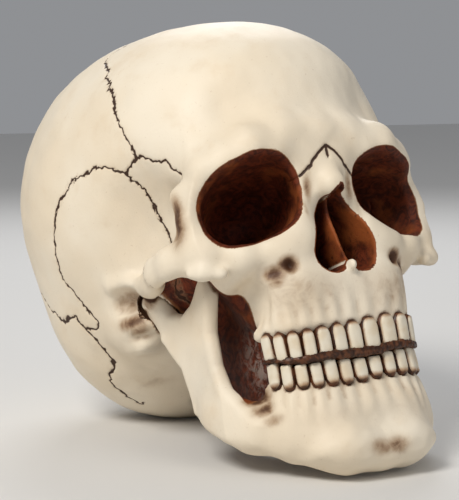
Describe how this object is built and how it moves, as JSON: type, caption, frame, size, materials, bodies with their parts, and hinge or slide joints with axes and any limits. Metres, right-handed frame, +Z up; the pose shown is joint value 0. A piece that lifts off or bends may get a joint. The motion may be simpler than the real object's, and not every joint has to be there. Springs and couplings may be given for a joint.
{
  "type": "human skull",
  "caption": "Still, life-size human skull as a museum shows it, lying on its chin and the back of its base with the teeth nearly closed, parted into its bones.",
  "frame": {"origin": "middle of the bounding box in X and Y, on the floor the skull lies on", "axes": "+Z up, the face towards -Y, the skull's own left side towards +X"},
  "size_m": [0.143, 0.2224, 0.1709],
  "materials": {
    "bone": "satin cast with a dark brown wash in its hollows"
  },
  "bodies": {
    "root": {"frontal_bone": "bone", "parietal_left": "bone", "parietal_right": "bone", "temporal_left": "bone", "temporal_right": "bone", "occipital_bone": "bone", "sphenoid_bone": "bone", "zygomatic_left": "bone", "zygomatic_right": "bone", "nasal_left": "bone", "nasal_right": "bone", "maxilla_left": "bone", "maxilla_right": "bone", "mandible": "bone"}
  },
  "joints": []
}
